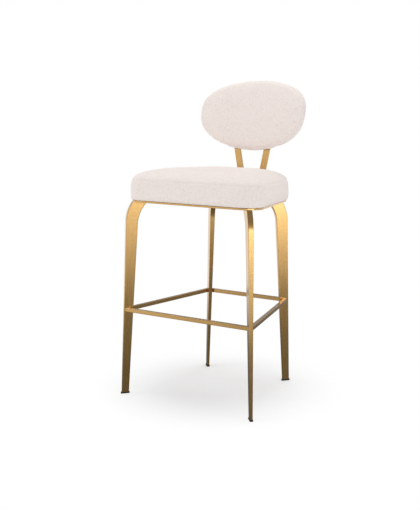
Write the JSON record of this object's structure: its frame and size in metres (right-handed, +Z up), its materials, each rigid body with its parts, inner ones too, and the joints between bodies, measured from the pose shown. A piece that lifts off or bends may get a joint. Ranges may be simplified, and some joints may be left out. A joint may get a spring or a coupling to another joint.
{
  "type": "bar stool with footrest",
  "caption": "Fixed bar stool with bent tapered metal legs, a square footrest ring, a padded boucle seat and an oval curved padded back on two flat stays.",
  "frame": {"origin": "on the floor, under the middle of the stool's outline", "axes": "+Z up, -Y the way the sitter faces, +X to the right of a person standing in front of the stool and looking along +Y"},
  "size_m": [0.5194, 0.5416, 1.0646],
  "materials": {
    "brass_finish": "brushed, satin brass colour on steel",
    "black_plastic": "moulded, matt",
    "boucle": "looped cream boucle",
    "plywood": "raw plywood",
    "hardwood": "raw hardwood",
    "foam": "open-cell upholstery foam",
    "cambric": "thin black non-woven cloth",
    "zinc_steel": "bright zinc plate"
  },
  "bodies": {
    "root": {"leg_front_left": "brass_finish", "leg_front_right": "brass_finish", "leg_rear_left": "brass_finish", "leg_rear_right": "brass_finish", "footrest_front": "brass_finish", "footrest_rear": "brass_finish", "footrest_left": "brass_finish", "footrest_right": "brass_finish", "seat_frame": "brass_finish", "back_stay_left": "brass_finish", "back_stay_right": "brass_finish", "back_mount_angle": "brass_finish", "foot_glide_front_left": "black_plastic", "foot_glide_front_right": "black_plastic", "foot_glide_rear_left": "black_plastic", "foot_glide_rear_right": "black_plastic", "seat_cover_top": "boucle", "seat_cover_band": "boucle", "back_cover_front": "boucle", "back_cover_rear": "boucle", "seat_board": "plywood", "back_board": "plywood", "back_fixing_block": "hardwood", "seat_foam": "foam", "back_foam_front": "foam", "back_foam_rear": "foam", "seat_dust_cover": "cambric", "seat_t_nuts": "zinc_steel", "seat_bolts": "zinc_steel", "back_mount_bolts": "zinc_steel", "back_screws": "zinc_steel"}
  },
  "joints": []
}
